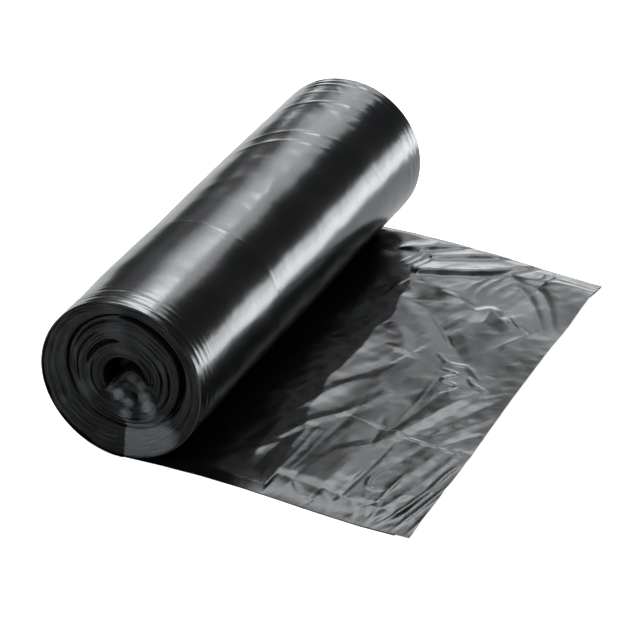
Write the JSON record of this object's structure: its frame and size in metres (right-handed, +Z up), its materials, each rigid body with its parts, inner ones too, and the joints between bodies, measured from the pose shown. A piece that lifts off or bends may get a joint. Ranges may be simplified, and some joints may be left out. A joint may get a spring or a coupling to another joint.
{
  "type": "bin bag roll",
  "caption": "Coreless roll of folded black plastic film bags, lying on its side, with a crumpled loose end drawn out flat from under it.",
  "frame": {"origin": "on the ground, under the middle of the roll, in the flat that the roll stands on", "axes": "+Y along the roll's axis, +X the way the loose end is pulled out, +Z up"},
  "size_m": [0.185, 0.271, 0.0793],
  "materials": {
    "bag_film": "glossy black polyethylene film, finely creased"
  },
  "bodies": {
    "root": {"bag_roll": "bag_film"}
  },
  "joints": []
}
